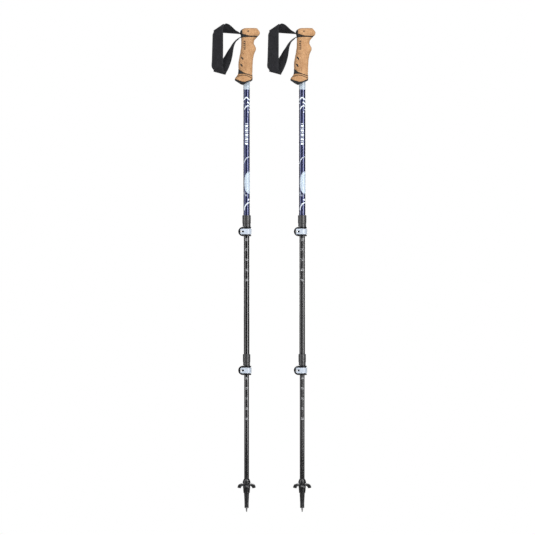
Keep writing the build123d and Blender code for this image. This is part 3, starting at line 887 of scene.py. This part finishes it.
def underside():
    """The grip's rubber underside, from the rim in to the tube."""
    low = heights_on(RIM_BASE)
    radius = UPPER_RADIUS - PRINT_DEPTH
    inwards = [(i / UNDERSIDE_RINGS, UNDERSIDE_RISE) for i in range(UNDERSIDE_RINGS + 1)]
    outwards = [(share, lift + UNDERSIDE_THICKNESS) for share, lift in inwards[::-1]]
    points = []
    for share, lift in inwards + outwards + inwards[:1]:
        for angle, z in zip(GRIP_ANGLES, low):
            edge_x, edge_y, _ = on_grip(angle, z, HIDDEN_DEPTH / 2)
            x = edge_x + share * (radius * math.cos(angle) - edge_x)
            y = edge_y + share * (-radius * math.sin(angle) - edge_y)
            points.append((x, y, between(RIM_BASE, x, 1) + lift))
    rings = 2 * len(inwards) + 1
    return mesh_of("grip_underside", points, grid_faces(rings, GRIP_AROUND), RUBBER)


PAD_SIZE, PAD_TILT = (12.6, 5.4), math.radians(-58)
DASH_SIZE, DASH_TILT = (8.0, 3.6), math.radians(10)
DASH_X, DASH_LOW, DASH_STEP, DASH_COUNT = -4.8, 1147.4, 4.8, 5
PAD_AROUND, PAD_RINGS = 20, 5
PAD_LIFT = 0.16
PAD_FALL = 0.5  # how far a pad's edge sinks under its middle


def pad_points(x, z, size, tilt, side):
    """A low oval pad on one side of the grip, as rings from its middle outwards."""
    length, width = size
    points = []
    for i in range(PAD_RINGS):
        reach = max(i, 0.1) / (PAD_RINGS - 1)
        for j in range(PAD_AROUND):
            angle = 2 * math.pi * j / PAD_AROUND
            u, v = length / 2 * reach * math.cos(angle), width / 2 * reach * math.sin(angle)
            pad_x = x + u * math.cos(tilt) - v * math.sin(tilt)
            pad_z = z + u * math.sin(tilt) + v * math.cos(tilt)
            points.append(beside(pad_x, pad_z, side, PAD_LIFT - PAD_FALL * reach**4))
    return points


def inlays():
    """Small black pads in both sides of the grip: two slanted ones and a column of dashes."""
    places = [(x, z, PAD_SIZE, PAD_TILT) for x, z in SLOTS]
    places += [(DASH_X, DASH_LOW + DASH_STEP * i, DASH_SIZE, DASH_TILT) for i in range(DASH_COUNT)]
    points, faces = [], []
    for side in (-1, 1):
        for place in places:
            first = len(points)
            points += pad_points(*place, side)
            faces += tube_faces(PAD_RINGS, PAD_AROUND, first)
    return mesh_of("inlays", points, faces, RUBBER)


WEDGE_LOW, WEDGE_HIGH = 1184.6, 1197.0
WEDGE_FRONT_X = -10.2
WEDGE_PROUD = 0.55  # how far it stands out of the head
WEDGE_DEPTH = 1.6


def wedge():
    """The black wedge over the rear of the head, above the strap."""
    columns, rows = 25, 12
    outer, inner = [], []
    for i in range(rows):
        up = 2 * i / (rows - 1) - 1
        z = WEDGE_LOW + (WEDGE_HIGH - WEDGE_LOW) * i / (rows - 1)
        middle, half_length, _ = section(z)
        part = min((middle - WEDGE_FRONT_X) / half_length, 0.985)
        reach = math.acos(part ** (GRIP_POWER / 2))
        for j in range(columns):
            across = 2 * j / (columns - 1) - 1
            angle = math.pi + reach * across
            lift = WEDGE_PROUD - 0.5 * abs(across) ** 6 - 0.4 * abs(up) ** 6
            outer.append(on_grip(angle, z, -lift))
            inner.append(on_grip(angle, z, WEDGE_DEPTH))
    count = rows * columns
    faces = grid_faces(rows, columns, closed=False)
    faces += [tuple(count + k for k in face[::-1]) for face in faces]
    border = [(k, k + 1) for k in range(columns - 1)]
    border += [((k + 1) * columns - 1, (k + 2) * columns - 1) for k in range(rows - 1)]
    border += [(count - 1 - k, count - 2 - k) for k in range(columns - 1)]
    border += [((rows - 1 - k) * columns, (rows - 2 - k) * columns) for k in range(rows - 1)]
    faces += [(b, a, a + count, b + count) for a, b in border]
    return mesh_of("wedge", outer + inner, faces, RUBBER, 50)


PIN_HEAD_SUNK = 1.5
PIN_HEAD_AROUND = 24
PIN_HEAD_RINGS = ((1.9, -1.5), (1.9, 0.0), (1.6, 0.3), (0.9, 0.35), (0.8, 0.0))  # radius, way out


def pin_heads():
    """The two ends of the strap's cross pin, at the bottom of the head's dishes."""
    points, faces = [], []
    for side in (-1, 1):
        _, y, _ = beside(PIN_X, PIN_Z, side)
        first = len(points)
        for radius, out in PIN_HEAD_RINGS:
            for j in range(PIN_HEAD_AROUND):
                angle = 2 * math.pi * j / PIN_HEAD_AROUND
                x, z = PIN_X + radius * math.cos(angle), PIN_Z + radius * math.sin(angle)
                points.append((x, y + side * (out - PIN_HEAD_SUNK), z))
        faces += tube_faces(len(PIN_HEAD_RINGS), PIN_HEAD_AROUND, first)
    return mesh_of("pin_heads", points, faces, TIP_PLASTIC)


def grips():
    """Every piece of the grip."""
    rim = layer("grip_rim", RIM_BASE, FOOT_BASE, 10, RUBBER)
    show("grip_rim", rim, "upper", ["grip_core"])
    show("grip_underside", underside(), "upper")
    foot = layer("grip_foot", FOOT_BASE, GROOVE_BASE, 16, CORK)
    show("grip_foot", foot, "upper", ["grip_foot"])
    show("grip_groove", layer("grip_groove", GROOVE_BASE, GROOVE_TOP, 2, RUBBER), "upper")
    show("grip_band", layer("grip_band", GROOVE_TOP, INLAY_BASE, 6, CORK), "upper")
    show("grip_inlay", layer("grip_inlay", INLAY_BASE, BODY_BASE, 8, RUBBER), "upper")
    body = layer("grip_body", BODY_BASE, COLLAR_BASE, 130, CORK, body_relief)
    show("grip_body", body, "upper", ["grip_body"])
    collar = layer("grip_collar", COLLAR_BASE, HEAD_BASE, 8, RUBBER)
    show("grip_collar", collar, "upper", ["grip_collar"])
    head = layer("grip_head", HEAD_BASE, None, 40, CORK, head_relief)
    show("grip_head", head, "upper", ["grip_head"])
    show("grip_inlays", inlays(), "upper")
    show("strap_wedge", wedge(), "wedge", ["strap_wedge"])
    show("pin_heads", pin_heads(), "upper", ["strap_pin"])


grips()

# Wrist strap: rulings across the webbing as pairs of edge points, outer edge first.

STRAP_HALF_THICKNESS = 0.95
FOLD_STEPS = 8
TOP_RUN = [
    ((-9.0, -7.4, 1185.6), (-9.0, 7.4, 1185.6)),
    ((-16.2, -7.5, 1187.0), (-16.2, 7.5, 1186.6)),
    ((-21.0, -8.0, 1190.4), (-21.6, 8.0, 1186.8)),
    ((-27.7, -8.5, 1194.6), (-29.3, 9.5, 1187.4)),
    ((-32.8, -8.2, 1199.5), (-38.2, 10.5, 1188.0)),
    ((-37.9, -7.0, 1204.5), (-47.0, 10.5, 1188.6)),
    ((-44.2, -3.5, 1209.6), (-58.0, 9.0, 1189.2)),
    ((-51.0, 0.0, 1211.8), (-71.0, 5.6, 1189.8)),
]
TOP_FOLD = ((-56.0, 1209.4), (-81.4, 1192.0))
TOP_FOLD_RADIUS = 1.4
FRONT_RUN = [
    ((-57.8, -1.8, 1198.0), (-84.2, -1.8, 1184.5)),
    ((-58.1, -2.4, 1180.0), (-84.7, -2.4, 1174.0)),
    ((-58.1, -3.0, 1150.0), (-85.4, -3.0, 1150.0)),
    ((-58.2, -3.0, 1120.0), (-86.3, -3.0, 1120.0)),
    ((-57.4, -2.7, 1098.0), (-86.6, -2.7, 1103.5)),
]
BOTTOM_FOLD = ((-51.6, 1087.1), (-81.7, 1095.3))
BOTTOM_FOLD_RADIUS = 2.2
RETURN_RUN = [
    ((-45.4, -0.6, 1099.0), (-73.0, 6.0, 1110.0)),
    ((-39.4, -4.8, 1114.4), (-62.0, 9.0, 1121.0)),
    ((-35.6, -8.6, 1129.0), (-54.8, 9.8, 1130.6)),
    ((-33.6, -9.8, 1142.0), (-47.4, 9.8, 1143.2)),
    ((-31.9, -9.9, 1152.5), (-40.6, 9.4, 1152.8)),
    ((-29.6, -9.4, 1160.2), (-35.7, 8.8, 1160.4)),
    ((-26.2, -8.8, 1166.6), (-30.3, 8.3, 1167.2)),
    ((-20.6, -8.2, 1171.8), (-23.6, 8.0, 1173.2)),
    ((-16.2, -7.5, 1176.4), (-16.2, 7.5, 1177.4)),
    ((-9.0, -7.4, 1179.6), (-9.0, 7.4, 1179.6)),
]
STRAP_ACROSS = 16
STEPS_BETWEEN = 8


def fold(crease, radius, front_last, upwards):
    """Rulings that take the webbing round a crease from one layer to the other."""
    (x1, z1), (x2, z2) = crease
    length = math.hypot(x2 - x1, z2 - z1)
    out_x, out_z = (z2 - z1) / length, (x1 - x2) / length
    if (out_z > 0) != upwards:
        out_x, out_z = -out_x, -out_z
    rulings = []
    for i in range(FOLD_STEPS + 1):
        angle = math.pi * i / FOLD_STEPS
        y = radius * math.cos(angle) * (1 if front_last else -1)
        reach = radius * math.sin(angle)
        dx, dz = out_x * reach, out_z * reach
        rulings.append(((x1 + dx, y, z1 + dz), (x2 + dx, y, z2 + dz)))
    return rulings


def smooth_rulings():
    """The strap's rulings, with more put in smoothly between them."""
    top = fold(TOP_FOLD, TOP_FOLD_RADIUS, True, True)
    bottom = fold(BOTTOM_FOLD, BOTTOM_FOLD_RADIUS, False, False)
    rows = [(Vector(a), Vector(b)) for a, b in TOP_RUN + top + FRONT_RUN + bottom + RETURN_RUN]
    count = len(rows)
    smooth = []
    for i in range(count - 1):
        four = [rows[min(max(k, 0), count - 1)] for k in (i - 1, i, i + 1, i + 2)]
        for step in range(STEPS_BETWEEN):
            t = step / STEPS_BETWEEN
            smooth.append(tuple(spline([row[e] for row in four], t) for e in (0, 1)))
    smooth.append(rows[-1])
    return smooth


class Strap:
    """The webbing's surface: a place for each (station, share of the width)."""

    def __init__(self):
        self.rows = smooth_rulings()
        middles = [(a + b) / 2 for a, b in self.rows]
        self.along = [0.0]
        for a, b in zip(middles, middles[1:]):
            self.along.append(self.along[-1] + (b - a).length)
        self.length = self.along[-1]
        self.width = max((b - a).length for a, b in self.rows)
        self.area = 0.0
        for i in range(len(self.rows) - 1):
            step = self.along[i + 1] - self.along[i]
            widths = [(b - a).length for a, b in self.rows[i : i + 2]]
            self.area += step * sum(widths) / 2

    def at(self, i, share):
        """Point and normal at a station, share 0 to 1 across."""
        a, b = self.rows[i]
        before = self.rows[max(i - 1, 0)]
        after = self.rows[min(i + 1, len(self.rows) - 1)]
        along = after[0].lerp(after[1], share) - before[0].lerp(before[1], share)
        return a.lerp(b, share), along.cross(b - a).normalized()

    def between(self, distance, share):
        """Point and normal at a distance along the webbing."""
        i = 0
        while i < len(self.along) - 2 and self.along[i + 1] < distance:
            i += 1
        t = (distance - self.along[i]) / (self.along[i + 1] - self.along[i])
        (p, n), (q, m) = self.at(i, share), self.at(i + 1, share)
        return p.lerp(q, t), n.lerp(m, t).normalized()


def strap_mesh(strap):
    """Webbing with two faces and rounded selvedges."""
    section_places = []
    for k in range(STRAP_ACROSS + 1):
        share = k / STRAP_ACROSS
        section_places.append((share, 1.0 if 0 < k < STRAP_ACROSS else 0.45))
    section_places += [(share, -thick) for share, thick in section_places[::-1]]
    points, uvs = [], []
    for i in range(len(strap.rows)):
        for share, side in section_places:
            point, normal = strap.at(i, share)
            points.append(point + normal * (STRAP_HALF_THICKNESS * side))
            uvs.append((strap.along[i] * MM, (share - 0.5) * strap.width * MM))
    around = len(section_places)
    return mesh_of("wrist_strap", points, tube_faces(len(strap.rows), around), WEBBING, 60, uvs)


STITCH_LENGTH = 2.5
STITCH_STEP = 3.6
STITCH_SHARES = (0.075, 0.925)  # of the webbing's width
STITCH_START = 30.0
STITCH_HALF_WIDTH = 0.28
STITCH_CROWN = 0.28  # how far a stitch arches up from its sunk ends
STITCH_SINK = 0.08
STITCH_ROOT = 0.3  # how far its underside reaches into the webbing
STITCH_PARTS = 4


def stitch_mesh(strap):
    """Two rows of stitches near the edges, on both faces of the webbing."""
    points, faces = [], []
    distance = STITCH_START
    while distance < strap.length - STITCH_START:
        for share in STITCH_SHARES:
            for face in (1, -1):
                first = len(points)
                for step in range(STITCH_PARTS + 1):
                    part = step / STITCH_PARTS
                    here = distance + STITCH_LENGTH * part
                    point, normal = strap.between(here, share)
                    ahead, _ = strap.between(here + 0.5, share)
                    side = (ahead - point).cross(normal).normalized() * STITCH_HALF_WIDTH
                    lift = STRAP_HALF_THICKNESS + STITCH_CROWN * math.sin(math.pi * part) - STITCH_SINK
                    top = point + normal * (face * lift)
                    base = point + normal * (face * (STRAP_HALF_THICKNESS - STITCH_ROOT))
                    points.extend((base - side, top - side * 0.5, top + side * 0.5, base + side))
                faces += tube_faces(STITCH_PARTS + 1, 4, first)
        distance += STITCH_STEP
    return mesh_of("stitches", points, faces, THREAD)


def straps():
    """Both wrist straps and their stitches, one copy on each pole."""
    strap = Strap()
    cloth, stitches = strap_mesh(strap), stitch_mesh(strap)
    for side, x in POLES.items():
        for name, mesh in (("wrist_strap", cloth), ("stitches", stitches)):
            obj = add_object(f"{side}_{name}_look", mesh.copy())
            obj.location.x = x
            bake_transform(obj)
        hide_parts(f"{side}_wrist_strap")


straps()

# Clamps, tips and baskets keep their engineered shapes, apart from the lever's pin

PIN_SLACK = 0.06
PIN_CHAMFER = 0.3


def lever_pin(joint):
    """The lever's upright pin, with eased ends and a little slack in the bolt's eye."""
    node = f"{joint}_lever_pin"
    pole_x = POLES["left"] / MM
    (x1, x2), (y1, y2), (low, high) = (span(node, axis) for axis in range(3))
    x, y = (x1 + x2) / 2 - pole_x, (y1 + y2) / 2
    radius = (y2 - y1) / 2 - PIN_SLACK
    outline = [(0.01, low), (radius - PIN_CHAMFER, low), (radius, low + PIN_CHAMFER)]
    outline += [(radius, high - PIN_CHAMFER), (radius - PIN_CHAMFER, high), (0.01, high)]
    points, faces = lathe(outline, 32)
    points = [(px + x, py + y, pz) for px, py, pz in points]
    show(node, mesh_of(node, points, faces, DARK_STEEL), f"{joint}_lever", [node])


for joint in ("upper", "lower"):
    paint(f"{joint}_clamp_body", CLAMP_PLASTIC)
    paint(f"{joint}_clamp_saddle", DARK_STEEL)
    paint(f"{joint}_clamp_bolt", STEEL)
    paint(f"{joint}_clamp_lever", LEVER_PLASTIC)
    lever_pin(joint)
    paint(f"{joint}_clamp_nut", NUT_METAL)
paint("middle_guide_bush", BUSH_PLASTIC)
paint("lower_guide_bush", BUSH_PLASTIC)
paint("flexible_tip", TIP_PLASTIC)
paint("basket", TIP_PLASTIC)
paint("tip_ferrule", STEEL)
paint("carbide_point", CARBIDE)
paint("strap_tail", WEBBING)

# Stage, light and camera

VIEW_CENTRE = Vector((0.0519, 0, 0.6061))
CAMERA_DISTANCE = 7.377
FLOOR_HALF = 6.0
FLOOR_LIGHT = 0.25
WORLD_LIGHT = 0.18

# Each light's name, azimuth, height, distance, width, height of its face and power.
SOFTBOXES = [
    ("left_box", -62, 1.1, 2.4, 1.1, 2.4, 42),
    ("right_strip", 42, 0.9, 2.4, 0.7, 2.4, 78),
    ("top_box", 10, 2.9, 2.0, 1.6, 1.0, 45),
    ("back_box", 180, 1.4, 2.6, 1.6, 2.0, 34),
]


def floor():
    """A plain pale floor at the tips; the camera looks past it, so that a lengthened pole shows whole."""
    mesh = bpy.data.meshes.new("floor")
    corners = [(-1, -1), (1, -1), (1, 1), (-1, 1)]
    mesh.from_pydata([(x * FLOOR_HALF, y * FLOOR_HALF, 0) for x, y in corners], [], [(0, 1, 2, 3)])
    mesh.materials.append(flat_white("floor_white", FLOOR_LIGHT))
    obj = add_object("floor", mesh)
    obj.location.z = -0.0005
    obj.visible_camera = False


def softbox(name, azimuth, height, distance, width, tall, power):
    """An area light aimed at the poles; azimuth 0 is the camera's own direction, 90 its right."""
    light = bpy.data.lights.new(name, "AREA")
    light.shape = "RECTANGLE"
    light.size, light.size_y = width, tall
    light.energy = power
    obj = add_object(name, light)
    angle = math.radians(azimuth)
    obj.location = VIEW_CENTRE + Vector((math.sin(angle) * distance, -math.cos(angle) * distance, 0))
    obj.location.z = height
    aim = VIEW_CENTRE - obj.location
    obj.rotation_euler = aim.to_track_quat("-Z", "Y").to_euler()


def world():
    """White to the camera, a dim grey to everything else."""
    made = bpy.data.worlds.new("studio")
    bpy.context.scene.world = made
    made.use_nodes = True
    background = made.node_tree.nodes["Background"]
    background.inputs["Color"].default_value = (1, 1, 1, 1)
    glare = glare_for_camera(made.node_tree, WORLD_LIGHT)
    made.node_tree.links.new(glare, background.inputs["Strength"])


def camera():
    """A long lens that looks along +Y at the middle of the poles."""
    lens = bpy.data.cameras.new("camera")
    lens.sensor_width = 36
    lens.lens = 200
    obj = add_object("camera", lens)
    obj.location = VIEW_CENTRE - Vector((0, CAMERA_DISTANCE, 0))
    obj.rotation_euler = (math.pi / 2, 0, 0)
    bpy.context.scene.camera = obj


bpy.context.scene.view_settings.view_transform = "Standard"
floor()
world()
for light in SOFTBOXES:
    softbox(*light)
camera()
